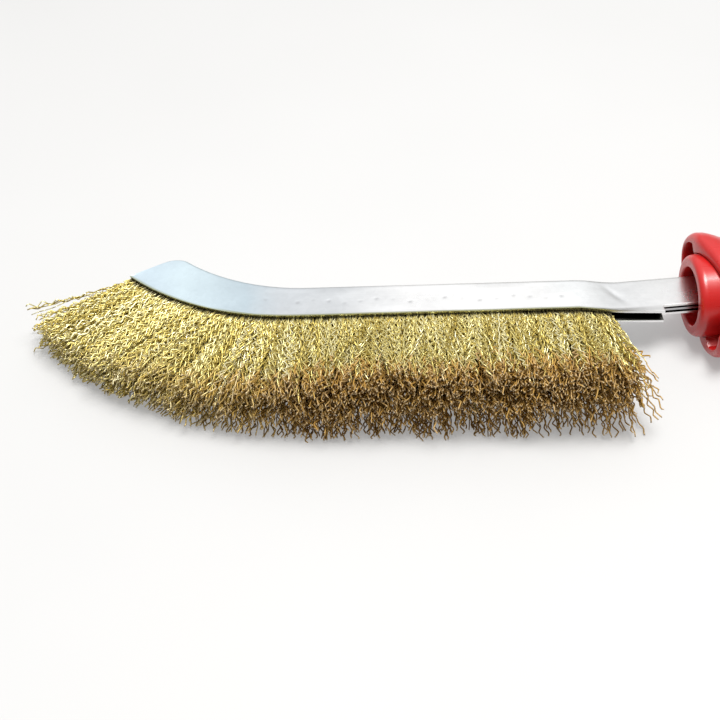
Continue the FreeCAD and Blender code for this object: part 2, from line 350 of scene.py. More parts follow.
def galvanised_steel(name, light, dark, tints):
    """Zinc-coated sheet: cloudy tone, spangle, tints along the length, which on the channel's outside
    are painted reflection, dull press marks and a painted reflection of the brass wires along the lips.
    """
    material, nodes, links, shader = new_material(name)
    cloud = noise(nodes, links, 45, 5, 0.65, (0.45, 1, 1))
    colour = colour_ramp(nodes, links, cloud, [(0.32, dark), (0.62, light)])
    colour = tinted(nodes, links, colour, tint_along(nodes, links, tints))
    colour = tinted(nodes, links, colour, spangle(nodes, links))
    dull = map_range(nodes, links, attribute(nodes, "mark"), 0.1, 1.0, 0, 0.6)
    colour = covered(nodes, links, dull, colour, DULL_ZINC)
    reflected_brass = map_range(nodes, links, attribute(nodes, "lip_reflection"), 0, 1, 0, 0.85)
    # painted reflection: the lips coloured as if mirroring the brass wires
    colour = covered(nodes, links, reflected_brass, colour, LIP_BRASS_REFLECTION)
    links.new(colour, shader.inputs["Base Color"])
    shader.inputs["Metallic"].default_value = 1.0
    links.new(map_range(nodes, links, cloud, 0.3, 0.7, 0.27, 0.31), shader.inputs["Roughness"])
    soft = bump(nodes, links, noise(nodes, links, 160, 4), 0.0004, 0.25)
    rolling_lines = noise(nodes, links, 1500, 2, 0.6, (0.03, 1, 1))
    links.new(bump(nodes, links, rolling_lines, 0.00003, 0.5, soft), shader.inputs["Normal"])
    return material


def brass_wire():
    """Brass-coated steel: every wire has its own tone, with rust and painted shade towards the ends,
    painted shade at the roots, and cut ends.
    """
    material, nodes, links, shader = new_material("brass_coated_wire")
    tone = attribute(nodes, "tone")
    rust_and_shade = attribute(nodes, "rust_and_shade")
    colour = colour_ramp(nodes, links, tone, BRASS)
    fleck = map_range(nodes, links, noise(nodes, links, 900, 2), 0.3, 0.7, 0.8, 1.12)
    colour = tinted(nodes, links, colour, fleck)
    # rust and painted shade on the ends: the lower wires' ends darken as if in shade
    rust_and_shade_cover = map_range(nodes, links, rust_and_shade, 0, 1, 0, 0.8)
    colour = covered(nodes, links, rust_and_shade_cover, colour, RUST_AND_SHADE)
    # painted shade: the roots darkened where they leave the channel under the lip
    colour = covered(nodes, links, attribute(nodes, "root_shade"), colour, PAINTED_ROOT_SHADE)
    cut = map_range(nodes, links, attribute(nodes, "reach"), 0.985, 1.0, 0, 0.8)
    colour = covered(nodes, links, cut, colour, CUT_END)
    links.new(colour, shader.inputs["Base Color"])
    links.new(map_range(nodes, links, rust_and_shade, 0, 1, 0.8, 0.5), shader.inputs["Metallic"])
    gloss = map_range(nodes, links, tone, 0, 1, 0.46, 0.34)
    dull = map_range(nodes, links, rust_and_shade, 0, 1, 0.0, 0.25)
    links.new(total(nodes, links, gloss, dull), shader.inputs["Roughness"])
    return material


def red_plastic():
    """Glossy moulded plastic with a faint flow pattern and handling scratches."""
    material, nodes, links, shader = new_material("red_plastic")
    flow = noise(nodes, links, 30, 3, 0.5, (0.4, 1, 1))
    links.new(colour_ramp(nodes, links, flow, RED), shader.inputs["Base Color"])
    scratch = noise(nodes, links, 700, 3, 0.7, (0.08, 1, 1))
    links.new(map_range(nodes, links, scratch, 0.3, 0.75, 0.26, 0.40), shader.inputs["Roughness"])
    shader.inputs["Specular IOR Level"].default_value = 0.5
    shader.inputs["Coat Weight"].default_value = 0.2
    shader.inputs["Coat Roughness"].default_value = 0.16
    shader.inputs["Subsurface Weight"].default_value = 0.08
    shader.inputs["Subsurface Radius"].default_value = (1.0, 0.25, 0.15)
    shader.inputs["Subsurface Scale"].default_value = 0.002
    fine = bump(nodes, links, noise(nodes, links, 260, 3), 0.0001, 0.25)
    links.new(bump(nodes, links, scratch, 0.00002, 0.4, fine), shader.inputs["Normal"])
    return material


# ---- the channel's line ----
def arc_points(start_x, start_y, radius, angle):
    """Points on an arc that leaves the straight and curves up towards -X."""
    return np.stack([start_x - radius * np.sin(angle), start_y + radius * (1 - np.cos(angle))], -1)


def channel_line(along):
    """Spine points, lip points and bend angles at distances along the lips from the tip."""
    along = np.asarray(along, float)
    angle = np.clip(BEND - along / LIP_BEND_R, 0, None)
    x = LIP_BEND_X + along - LIP_ARC
    offset = (SPINE_BEND_X - LIP_BEND_X) * (1 - np.clip((x - LIP_BEND_X) / (EVEN_X - LIP_BEND_X), 0, 1))
    straight = (along >= LIP_ARC)[..., None]
    spine_flat = np.stack([x + offset, np.full_like(x, SPINE_Y)], -1)
    lip_flat = np.stack([x, lip_y(x)], -1)
    spine = np.where(straight, spine_flat, arc_points(SPINE_BEND_X, SPINE_Y, SPINE_BEND_R, angle))
    lip = np.where(straight, lip_flat, arc_points(LIP_BEND_X, LIP_Y, LIP_BEND_R, angle))
    return spine, lip, angle


def along_at(x):
    """The distance along the lips from the tip to a place on the straight."""
    return LIP_ARC + x - LIP_BEND_X


def lip_half(x):
    """Half the distance between the lips' outsides."""
    return LIP_HALF + (NOTCH_LIP_HALF - LIP_HALF) * blend(x, NECK_X[0], NOTCH_X)


def lip_y(x):
    """The lips' height, which falls away below the shank."""
    return LIP_Y + (NOTCH_LIP_Y - LIP_Y) * blend(x, NECK_X[0], NOTCH_X)


def nose_drop(along):
    """How far the rounded corner at the tip takes the spine down."""
    left = np.clip(NOSE_R - np.asarray(along, float), 0, NOSE_R)
    return NOSE_R - np.sqrt(NOSE_R ** 2 - left ** 2)


# ---- wires ----
WIRE_R = 0.25
WIRE_REACH = 45.0           # free length of the wires, and of those at the tip
TIP_REACH = 39.0
REACH_CHANGE = 75.0         # the tip's reach grows to the full one over this length
REACH_GAIN = 1.8            # the longest wires reach this much further
STRAY_REACH = (1.5, 4.0)    # and the strays further still
END_STRAY_LOSS = 6.0        # but not next to the handle
FAN = radians(21.0)         # the wires spread this far to each side
FAN_CHANGE = 95.0
FAN_SPREAD = radians(2.3)   # unevenness of the fan, and of the wires' lean along the brush
LEAN_SPREAD = radians(6.5)
STRAY_LEAN = radians(22.0)
TIP_LOW = 0.66              # share of the fan below the middle plane that the tip's wires take up
TIP_CHANGE = 75.0
TOP_INSET = radians(3.0)    # the top wires stay this far inside the fan
DENSE = radians(23.0)       # the wires above those that the brush lies on are this much apart
SPARSE_FROM = 0.82          # and are this share of all
END_LEAN = radians(4.0)     # the last wires lean towards the handle
LEAN_LENGTH = 22.0
CRIMP_PITCH = 5.0
CRIMP_HEIGHT = 0.72
CRIMP_TWIST = 0.35          # share of the crimp that is out of its plane
ROOT_SHADE_FROM_X = -75.0        # from here the painted shade at the roots grows towards the handle
CURL = 1.5                  # how far the wires' ends curl away
LIE_SOFTNESS = 0.7          # wires bend this gently onto the surface below
LEGS = 176                  # wire ends in one bundle
STRAYS = 6                  # of them, those that stand out of the rest
SIDES = 4
INNER_RINGS = 8
OUTER_RINGS = 62
MAP_COLUMNS = 16            # blocks across the map that holds the wires' colours


def near_handle(along, length):
    """0 up to some length before the last wires, 1 at them."""
    return ramp(along, along_at(BUNDLE_END_X) - length, along_at(BUNDLE_END_X))


def wire_way(along, lean):
    """The way that wires point in the brush's plane, leaning by some angles towards the handle."""
    spine, lip, angle = channel_line(along)
    down = unit(lip - spine)
    end = END_LEAN * near_handle(along, LEAN_LENGTH)
    turn = end - angle
    way = down * ramp(angle, 0, BEND / 2)[:, None] + np.stack([np.sin(turn), -np.cos(turn)], -1)
    heading = np.arctan2(way[:, 1], way[:, 0]) + lean
    return np.stack([np.cos(heading), np.sin(heading)], -1)


def tuft(along, across, seed):
    """A smooth field that makes neighbouring wires lean together."""
    return (
        np.sin(along / 5.3 + 3.1 * across + seed)
        + 0.8 * np.sin(along / 2.3 - 4.0 * across + 2.1 * seed)
        + 0.6 * np.sin(along / 11.0 + 5.0 * across - 1.3 * seed)
    )


def fan_angle(along, rank):
    """The angle out of the middle plane of wires ranked from the top ones, 0, to the lowest, 1."""
    top = (FAN - TOP_INSET) * blend(along, 0, FAN_CHANGE)
    low = FAN * (TIP_LOW + (1 - TIP_LOW) * blend(along, 0, TIP_CHANGE))
    dense = np.minimum(DENSE, top + low)
    return top - dense * rank - (top + low - dense) * ramp(rank, SPARSE_FROM, 1.0)


def clamped_part(along, rank):
    """The wires from over the core strip to the lips, and how far from the middle they leave them."""
    spine, lip, _ = channel_line(along)
    down = unit(lip - spine)
    depth = np.linalg.norm(lip - spine, axis=-1)
    room = lip_half(lip[:, 0]) - SHEET - STRIP_HALF - 2 * WIRE_R
    side = np.where(rank < 0.5, 1.0, -1.0)
    layer = np.abs(1 - 2 * rank)
    mouth = side * (STRIP_HALF + WIRE_R + layer * room)
    top = SHEET + WIRE_R + (1 - layer) * (STRIP_TOP - SHEET - 2 * WIRE_R) + nose_drop(along)
    share = np.linspace(0, 1, INNER_RINGS)
    depths = top[:, None] + (depth - top)[:, None] * share ** 1.3
    plan = spine[:, None] + down[:, None] * depths[..., None]
    height = mouth[:, None] * np.sqrt(np.clip(share * 3.5, 0, 1))
    return plan, height, lip, mouth


def wire_paths(low, high):
    """Centre lines of the wires in one stretch of channel, the ways their crimps face, their rust and
    painted shade.
    """
    pairs = LEGS // 2
    along = np.repeat(RNG.uniform(low, high, pairs), 2)
    rank = RNG.uniform(0, 1, pairs)
    rank = np.stack([rank, 1 - rank], -1).ravel()
    stray = np.zeros(LEGS, bool)
    stray[RNG.choice(LEGS, STRAYS, replace=False)] = True
    fan = fan_angle(along, rank) + RNG.normal(0, FAN_SPREAD, LEGS) + 0.02 * tuft(along, rank, 0.7)
    lean = RNG.normal(0, LEAN_SPREAD, LEGS) + 0.016 * tuft(along, rank, 4.0)
    last = near_handle(along, 6)
    lean = lean * (1 - 0.5 * last)
    lean = np.where(stray, lean * 1.4 + last * RNG.uniform(0, STRAY_LEAN, LEGS), lean)
    reach = TIP_REACH + (WIRE_REACH - TIP_REACH) * blend(along, 0, REACH_CHANGE)
    reach = reach - RNG.gamma(1.5, 1.3, LEGS) + REACH_GAIN + 0.5 * tuft(along, rank, 2.0)
    reach = np.where(stray, reach + RNG.uniform(*STRAY_REACH, LEGS) - END_STRAY_LOSS * last, reach)

    inner_plan, inner_height, lip, mouth = clamped_part(along, rank)
    way = wire_way(along, lean)
    run = reach[:, None] * np.linspace(0, 1, OUTER_RINGS + 1)[1:]
    outer_plan = lip[:, None] + way[:, None] * (run * np.cos(fan)[:, None])[..., None]
    outer_height = mouth[:, None] + run * np.sin(fan)[:, None]
    plan = np.concatenate([inner_plan, outer_plan], 1)
    height = np.concatenate([inner_height, outer_height], 1)
    points = np.concatenate([plan, height[..., None]], -1)

    swing, flat = crimp_directions(way, fan)
    distance = np.concatenate([np.full((LEGS, INNER_RINGS), 0.0), run], 1)
    return points, swing, flat, distance, reach, rust_and_painted_shade(along, rank, distance, reach)


def crimp_directions(way, fan):
    """For each wire, the way that its crimp swings and the way square to that."""
    heading = np.stack([way[:, 0] * np.cos(fan), way[:, 1] * np.cos(fan), np.sin(fan)], -1)
    face = RNG.uniform(0, pi, LEGS)
    across = unit(np.cross(heading, [0, 0, 1.0]))
    upward = np.cross(across, heading)
    swing = across * np.cos(face)[:, None] + upward * np.sin(face)[:, None]
    return swing, np.cross(heading, swing)


def rust_and_painted_shade(along, rank, distance, reach):
    """How much rust and painted shade the wires get towards their ends, more on the lower wires, and how
    much painted shade lies at their roots.
    """
    share = distance / reach[:, None]
    # the lower wires brown from further back: painted shade over the fan's end face, with rust
    start = 0.93 - 0.25 * ramp(rank, 0, 0.16) + RNG.normal(0, 0.03, len(rank))
    rust_and_shade = ramp(share - start[:, None], 0, 0.12) * ramp(along, 12, 80)[:, None]
    deeper = ramp(along, along_at(ROOT_SHADE_FROM_X), along_at(BUNDLE_END_X))
    # painted shade at the roots, reaching further out towards the handle
    root_shade_end = 0.5 + 2.0 * deeper + RNG.normal(0, 0.5, len(rank))
    return rust_and_shade, 1 - ramp(distance - root_shade_end[:, None], 0, 1.4)


def crimp(points, swing, flat, distance, reach):
    """Adds each wire's crimp, the slow curl of its length and its lie on the surface below."""
    count = len(points)
    pitch = CRIMP_PITCH * RNG.normal(1, 0.06, count)[:, None]
    phase = RNG.uniform(0, 2 * pi, count)[:, None]
    size = CRIMP_HEIGHT * RNG.uniform(0.75, 1.3, count)[:, None] * ramp(distance, 0, 4)
    wave = 2 * pi * distance / pitch + phase
    curl = (distance / reach[:, None]) ** 2
    side_curl = RNG.normal(0, CURL, count)[:, None] * curl
    face_curl = RNG.normal(0, CURL, count)[:, None] * curl
    zigzag = size * (np.sin(wave) - 0.09 * np.sin(3 * wave))
    twist = size * CRIMP_TWIST * np.sin(wave * 0.37 + 2 * phase)
    points = points + swing[:, None] * (zigzag + side_curl)[..., None]
    points = points + flat[:, None] * (twist + face_curl)[..., None]
    lines = in_row(points)
    soft = LIE_SOFTNESS * MM
    lowest = WIRE_R * MM
    lines[..., 2] = lowest + soft * np.logaddexp(0, (lines[..., 2] - lowest) / soft)
    return lines


def tube_points(lines, flat):
    """Rings of points round centre lines, in the row's frame."""
    tangent = unit(np.gradient(lines, axis=1))
    turned = flat @ PLACE[:3, :3].T
    first = unit(np.cross(tangent, turned[:, None]))
    second = np.cross(tangent, first)
    angle = np.arange(SIDES) * 2 * pi / SIDES + pi / SIDES
    ring = first[:, :, None] * np.cos(angle)[:, None] + second[:, :, None] * np.sin(angle)[:, None]
    return lines[:, :, None] + ring * WIRE_R * MM


def tube_faces(count, rings):
    """Quads along every tube and over its two ends."""
    ring = np.arange(rings - 1)[:, None]
    side = np.arange(SIDES)[None, :]
    after = (side + 1) % SIDES
    corners = np.stack([
        np.broadcast_to(ring * SIDES + side, (rings - 1, SIDES)),
        np.broadcast_to(ring * SIDES + after, (rings - 1, SIDES)),
        np.broadcast_to((ring + 1) * SIDES + after, (rings - 1, SIDES)),
        np.broadcast_to((ring + 1) * SIDES + side, (rings - 1, SIDES)),
    ], -1).reshape(-1, SIDES)
    caps = np.array([np.arange(SIDES)[::-1], (rings - 1) * SIDES + np.arange(SIDES)])
    one = np.concatenate([corners, caps])
    return (one[None] + np.arange(count)[:, None, None] * rings * SIDES).reshape(-1, SIDES)


def wire_map(count, rings):
    """Where each point lies in the colour map: one block for each wire, folded across its width."""
    block = 1.0 / MAP_COLUMNS
    wire = np.arange(count)
    fold = np.abs((np.arange(SIDES) + SIDES // 2) % SIDES - SIDES // 2) / (SIDES // 2)
    u = (wire % MAP_COLUMNS)[:, None, None] + 0.15 + 0.7 * np.linspace(0, 1, rings)[None, :, None]
    v = (wire // MAP_COLUMNS)[:, None, None] + 0.2 + 0.6 * fold[None, None, :]
    u, v = np.broadcast_arrays(u, v)
    return np.stack([u, v], -1).reshape(-1, 2) * block


def quad_mesh(name, points, faces):
    """A mesh of quads only, filled from arrays."""
    mesh = bpy.data.meshes.new(name)
    mesh.vertices.add(len(points))
    mesh.vertices.foreach_set("co", points.astype(np.float32).ravel())
    mesh.loops.add(faces.size)
    mesh.loops.foreach_set("vertex_index", faces.astype(np.int32).ravel())
    mesh.polygons.add(len(faces))
    mesh.polygons.foreach_set("loop_start", np.arange(len(faces), dtype=np.int32) * faces.shape[1])
    mesh.polygons.foreach_set("use_smooth", np.ones(len(faces), bool))
    mesh.update(calc_edges=True)
    return mesh


def point_values(mesh, name, values):
    """Gives every point of a mesh a value that its material can read."""
    layer = mesh.attributes.new(name, "FLOAT", "POINT")
    layer.data.foreach_set("value", values.astype(np.float32).ravel())


def wire_piece(index, low, high, material):
    """All the wires of one bundle, as one piece that stands for the bundle's solid."""
    points, swing, flat, distance, reach, (rust_and_shade, root_shade) = wire_paths(low, high)
    lines = crimp(points, swing, flat, distance, reach)
    count, rings = lines.shape[:2]
    faces = tube_faces(count, rings)
    mesh = quad_mesh("wires_%02d" % index, tube_points(lines, flat).reshape(-1, 3), faces)
    layout = mesh.uv_layers.new(name="OFBake")
    layout.data.foreach_set("uv", wire_map(count, rings)[faces.ravel()].astype(np.float32).ravel())
    tone = RNG.beta(1.5, 1.3, count)
    point_values(mesh, "tone", np.repeat(tone, rings * SIDES))
    along = np.clip(distance / reach[:, None], 0, 1)
    point_values(mesh, "reach", np.repeat(along.ravel(), SIDES))
    point_values(mesh, "rust_and_shade", np.repeat(rust_and_shade.ravel(), SIDES))
    point_values(mesh, "root_shade", np.repeat(root_shade.ravel(), SIDES))
    return finish_piece(linked(mesh.name, mesh), material, ["wire_bundle_%02d" % index])


def all_wires():
    """One piece for each bundle of the model, in equal stretches from the tip."""
    material = brass_wire()
    count = len([n for n in frame["nodes"] if n.startswith("wire_bundle")])
    length = along_at(BUNDLE_END_X)
    for index in range(count):
        wire_piece(index + 1, length * index / count, length * (index + 1) / count, material)


# ---- channel ----
FLAT_ROWS = 3
FOLD_ROWS = 6
WALL_ROWS = 22
LIP_ROWS = 5
HALF_ROWS = FLAT_ROWS - 1 + FOLD_ROWS + WALL_ROWS - 1 + LIP_ROWS - 1
LIP_BAND = 1.0              # the rows next to the lips cover at least this much
LIP_REFLECTION_BAND = 0.55                  # the painted reflection of the wires covers this much of the lips
STEP = 0.6                  # distance between stations along the channel
CRIMP_MARKS = 6.0           # distance between the press marks along the walls
MARK_LEVEL = 8.4            # their depth below the spine
MARK_PRESS = 0.14           # how far the press marks, the slow waves and the crease go in
WAVE = 0.04
CREASE = 0.26
CREASE_X = -30.0
EDGE_ROUND = 0.14           # rounding of the sheet's cut edges
SHARP_EDGE = radians(50)    # edges sharper than this are rounded


def half_rows(depth, half_spine, half_mid, half_lip):
    """Depth and half width down one side of the section, from the spine's middle to the lip."""
    flat = np.linspace(0, half_spine - FOLD_R, FLAT_ROWS)[:-1]
    turn = np.linspace(0, pi / 2, FOLD_ROWS)
    edge = min(SPINE_Y - SHANK_LOW_Y, depth - LIP_BAND)
    wall = np.linspace(0, 1, WALL_ROWS)[1:]
    lip = np.linspace(0, 1, LIP_ROWS)[1:]
    return np.concatenate([
        np.stack([np.zeros_like(flat), flat], -1),
        np.stack([FOLD_R * (1 - np.cos(turn)), half_spine - FOLD_R + FOLD_R * np.sin(turn)], -1),
        np.stack([FOLD_R + (edge - FOLD_R) * wall, half_spine + (half_mid - half_spine) * wall], -1),
        np.stack([edge + (depth - edge) * lip, half_mid + (half_lip - half_mid) * lip], -1),
    ])


def swing_of(x):
    """The part of the swing's angle that a place along the neck has taken up."""
    return SWING * ramp(x, NECK_X[0] - 2, NECK_X[1] + 6)


def bent(point, down, x):
    """A station's spine point and direction after the neck's bend towards the spine."""
    angle = float(swing_of(x))
    turn = np.array([[cos(angle), -sin(angle)], [sin(angle), cos(angle)]])
    pivot = np.array([SWING_X, 0.0])
    return pivot + turn @ (point - pivot), turn @ down


def channel_stations():
    """Spine point, downward direction, depth and half widths along the channel and the shank."""
    stations = []
    nose = NOSE_R * (1 - np.cos(np.linspace(0, pi / 2, 14)))
    length = along_at(NECK_X[0])
    for along in np.concatenate([nose, np.arange(NOSE_R + STEP, length, STEP)]):
        spine, lip, _ = channel_line(along)
        full = float(np.linalg.norm(lip - spine))
        down = unit(lip - spine)
        drop = float(nose_drop(along))
        half = SPINE_HALF - (SPINE_HALF - LIP_HALF) * drop / full
        share = (SPINE_Y - SHANK_LOW_Y) / full
        mid = half + (LIP_HALF - half) * share
        stations.append((spine + down * drop, down, full - drop, half, mid, LIP_HALF))
    down = np.array([0.0, -1.0])
    for x in np.arange(NECK_X[0], NOTCH_X + STEP / 2, (NOTCH_X - NECK_X[0]) / 60):
        part = ramp(x, *NECK_X)
        depth = SPINE_Y - float(lip_y(x))
        half = SPINE_HALF + (SHANK_HALF - SPINE_HALF) * part
        mid = LIP_HALF + (SHANK_HALF - LIP_HALF) * part
        spine, way = bent(np.array([x, SPINE_Y]), down, x)
        stations.append((spine, way, depth, half, mid, float(lip_half(x))))
    notch = len(stations) - 1
    for x in np.concatenate([np.arange(NOTCH_X + 1, 6, 1.0), np.linspace(6, SHANK_END_X, 12)]):
        depth = SPINE_Y - SHANK_LOW_Y + LIP_BAND
        spine, way = bent(np.array([x, SPINE_Y]), down, x)
        stations.append((spine, way, depth, SHANK_HALF, SHANK_HALF, SHANK_HALF))
    return stations, notch


def press_marks(x, depth):
    """A row of small marks that the press left along the walls, each up to 1."""
    nearest = np.round(x / CRIMP_MARKS)
    jitter = 0.8 * np.sin(nearest * 12.9898)
    strength = 0.65 + 0.35 * np.sin(nearest * 78.233)
    gap = x - nearest * CRIMP_MARKS - jitter
    level = MARK_LEVEL + 0.9 * np.sin(nearest * 4.7)
    mark = strength * np.exp(-((gap / 0.8) ** 2) - ((depth - level) / 0.7) ** 2)
    return mark * ramp(-x, 34, 46) * (1 - 0.9 * ramp(-x, 140, 170))


def pushed_in(x, y, depth):
    """How far the walls are pushed in: the press marks, slow waves and the crease at the neck."""
    wave = WAVE * np.sin(x / 4.7 + depth * 0.35) + WAVE * np.sin(x / 9.1 - depth * 0.2 + y * 0.05)
    fold = (x - CREASE_X - 0.75 * (depth - 5)) / 1.7
    crease = CREASE * np.exp(-(fold ** 2)) * np.exp(-(((depth - 8.0) / 4.0) ** 2))
    return MARK_PRESS * press_marks(x, depth) + wave * ramp(depth, 1.5, 4) + crease


def mirrored(values):
    """Values of one half of the section, over the whole of it from lip to lip."""
    return np.concatenate([values[::-1], values[1:]])


def channel_grid(stations):
    """Points of the channel's outside, row by row, with their press marks and the painted reflection of
    the wires along the lips.
    """
    points, marks, lip_reflections = [], [], []
    for spine, down, depth, half_spine, half_mid, half_lip in stations:
        half = half_rows(depth, half_spine, half_mid, half_lip)
        plan = spine + down * half[:, :1]
        pushed = pushed_in(plan[:, 0], plan[:, 1], half[:, 0]) * ramp(half[:, 0], 0.8, 3.0)
        pushed = pushed * ramp(-plan[:, 0], -8, 2)
        upper = np.column_stack([plan, half[:, 1] - pushed])
        lower = np.column_stack([plan, -half[:, 1] + 0.8 * pushed])
        points.append(np.concatenate([upper[::-1], lower[1:]]))
        marks.append(mirrored(press_marks(plan[:, 0], half[:, 0])))
        # painted reflection of the wires along the lips, left off by the shank where no wires are
        lip_reflection = ramp(half[:, 0] - depth, -1.3 * LIP_REFLECTION_BAND, -0.8 * LIP_REFLECTION_BAND) * float(ramp(-spine[0], 28, 34))
        lip_reflections.append(mirrored(lip_reflection))
    return np.concatenate(points), np.concatenate(marks), np.concatenate(lip_reflections)


def channel_faces(count, notch):
    """Quads between the stations; behind the notch the lips' rows are left out."""
    rows = 2 * HALF_ROWS - 1
    cut = LIP_ROWS - 1
    faces = []
    for i in range(count - 1):
        first, last = (0, rows - 1) if i < notch else (cut, rows - 1 - cut)
        for j in range(first, last):
            a = i * rows + j
            faces.append((a, a + 1, a + rows + 1, a + rows))
    return faces


def drop_loose_points(mesh):
    """Deletes the points without a face and turns the faces one way."""
    work = bmesh.new()
    work.from_mesh(mesh)
    loose = [v for v in work.verts if not v.link_faces]
    bmesh.ops.delete(work, geom=loose, context="VERTS")
    bmesh.ops.recalc_face_normals(work, faces=work.faces)
    work.to_mesh(mesh)
    work.free()


def make_sheet(obj):
    """Turns a surface into a sheet with rounded edges; its inside gets the second material, darkened as
    painted shade.
    """
    thick = obj.modifiers.new("sheet", "SOLIDIFY")
    thick.thickness = SHEET * MM
    thick.offset = -1.0
    thick.use_even_offset = True
    thick.material_offset = 1
    thick.material_offset_rim = 0
    edge = obj.modifiers.new("edges", "BEVEL")
    edge.width = EDGE_ROUND * MM
    edge.segments = 2
    edge.limit_method = "ANGLE"
    edge.angle_limit = SHARP_EDGE
    apply_modifiers(obj)


def channel_piece(outside, inside):
    """The folded sheet: channel, neck and shank."""
    stations, notch = channel_stations()
    points, marks, lip_reflections = channel_grid(stations)
    faces = channel_faces(len(stations), notch)
    replaced = ["brush_channel"]
    obj = mesh_object("channel", in_row(points), faces, outside, replaced)
    obj.data.materials.append(inside)
    point_values(obj.data, "mark", marks)
    point_values(obj.data, "lip_reflection", lip_reflections)
    drop_loose_points(obj.data)
    make_sheet(obj)
    tidy_mesh(obj, 1e-7, radians(40))
    return obj


# ---- handle ----
COLLAR_R = 15.1
COLLAR_FRONT_X = -1.0
COLLAR_ROUND = (2.6, 2.0)   # rounding of the collar's edge, along X and across
BORE_R = 10.7               # the open front of the handle, round the shank
BORE_DEPTH = 26.0
BORE_ROUND = 0.6
SOCKET_DEPTH = 86.0         # the slot that holds the shank ends here
CLEAR = 0.04
POCKET_DEPTH = 11.0         # the hollows in the guard's lobes
POCKET_TIP_R = 21.8
POCKET_ARCH = 0.07          # how fast each hollow's arch falls off to its sides
POCKET_SPREAD = radians(30.0)
HANDLE_ANGLES = 360         # outlines round the handle
LOBE_FRONT_X = 2.1          # front face of the guard's lobes
SADDLE_DEPTH = 4.8          # between the lobes the guard starts this much further back
GUARD_LEAN = 0.9            # the lobe away from the spine lies twice this further back
SADDLE_RISE = (radians(35.0), radians(140.0))
SADDLE_FALL = (radians(150.0), radians(170.0))
NOSE_CREST = 3.2            # radius that the guard gains from its front face to its crest
BODY_END_X = 118.0          # the grip's last rounding, up to its end
GRIP_END_X = 122.2
TAB_X = (103.5, 106.0)      # the grip flattens into the tab between these
TAB_SOFTNESS = 0.25
HOLE_ROUND = 1.0            # rounding of the hanging hole's mouths
# place along X, half width along the guard, half thickness
GRIP = np.array([
    (4.8, 24.8, 18.4),
    (6.8, 24.4, 18.9),
    (9.0, 23.4, 18.8),
    (11.5, 22.0, 18.4),
    (14.5, 20.5, 17.9),
    (18.0, 18.8, 17.3),
    (24.0, 17.0, 16.2),
    (32.0, 15.8, 15.1),
    (42.0, 15.1, 14.4),
    (54.0, 15.1, 14.2),
    (72.0, 16.6, 15.0),
    (90.0, 16.2, 13.6),
    (100.0, 15.2, 11.0),
    (108.0, 14.2, 8.6),
    (115.0, 12.6, 7.3),
    (119.0, 10.2, 6.6),
    (121.4, 6.8, 5.2),
    (GRIP_END_X, 0.0, 0.0),
])


def through(x, values):
    """A smooth curve through the grip's stations."""
    xs = GRIP[:, 0]
    slope = np.gradient(values, xs)
    k = np.clip(np.searchsorted(xs, x) - 1, 0, len(xs) - 2)
    h = xs[k + 1] - xs[k]
    t = (x - xs[k]) / h
    return (
        (1 + 2 * t) * (1 - t) ** 2 * values[k]
        + t * (1 - t) ** 2 * h * slope[k]
        + t * t * (3 - 2 * t) * values[k + 1]
        - t * t * (1 - t) * h * slope[k + 1]
    )


def grip_radius(x, angle):
    """Radius of the guard and grip at a place and an angle from the guard's long axis."""
    wide = np.maximum(through(x, GRIP[:, 1]), 1e-4)
    thick = np.maximum(through(x, GRIP[:, 2]), 1e-4)
    return 1 / np.sqrt((np.cos(angle) / wide) ** 2 + (np.sin(angle) / thick) ** 2)


def quarter(from_x, from_r, to_x, to_r, steps, along_first):
    """A rounded corner between two places, as x and radius; along_first keeps x moving first."""
    turn = np.linspace(0, pi / 2, steps)
    quick, slow = np.sin(turn), 1 - np.cos(turn)
    if not along_first:
        quick, slow = slow, quick
    return [(from_x + (to_x - from_x) * a, from_r + (to_r - from_r) * b) for a, b in zip(quick, slow)]


def arch_radius(off):
    """Radius of a hollow's outline at an angle from the middle of its lobe."""
    bend = 2 * POCKET_ARCH * sin(off) ** 2
    if bend < 1e-6:
        return POCKET_TIP_R
    return (np.sqrt(cos(off) ** 2 + 2 * bend * POCKET_TIP_R) - cos(off)) / bend


def guard_saddle(angle):
    """The saddle's share of its depth at an angle: half of it below the shank, all above it."""
    if angle < 0:
        return float(ramp(min(-angle, pi + angle), *SADDLE_RISE))
    return float(ramp(angle, *SADDLE_RISE) * (1 - ramp(angle, *SADDLE_FALL)))


def bore_and_collar(front):
    """Outline from the bore's floor, out over the collar and back to the guard's front face."""
    start = COLLAR_FRONT_X
    along, across = COLLAR_ROUND
    floor_edge = (BORE_DEPTH, BORE_R - BORE_ROUND)
    line = [(BORE_DEPTH, 0.0), floor_edge]
    line += quarter(*floor_edge, BORE_DEPTH - BORE_ROUND, BORE_R - 0.05, 4, False)[1:]
    line += [(x, BORE_R) for x in np.linspace(BORE_DEPTH - 2, start + 1.0, 8)]
    line += quarter(start + 0.7, BORE_R + 0.02, start, BORE_R + BORE_ROUND, 6, True)
    line += [(start, BORE_R + 1.4), (start, COLLAR_R - across - 0.2)]
    line += quarter(start, COLLAR_R - across, start + along, COLLAR_R, 9, False)
    return line + [(x, COLLAR_R) for x in np.linspace(start + along + 0.1, front - 0.1, 3)]


def hollow(front, off):
    """Outline of a lobe's hollow, from the collar in and out to its rim, and the rim's radius."""
    inside = float(ramp(POCKET_SPREAD - off, 0, radians(3)))
    hollow_r = COLLAR_R + max(0.0, arch_radius(off) - COLLAR_R) * inside
    floor = front + (POCKET_DEPTH - front) * inside
    rim = hollow_r + 0.3
    line = [(x, COLLAR_R + 0.02 * k) for k, x in enumerate(np.linspace(front, floor, 6))]
    line += [(floor, COLLAR_R + 0.12 + (hollow_r - COLLAR_R) * k) for k in (0.35, 0.7)]
    line += [(x, hollow_r + 0.14) for x in np.linspace(floor, front + 0.8, 6)]
    return line + quarter(front + 0.5, rim, front, rim + 0.5, 5, True), rim


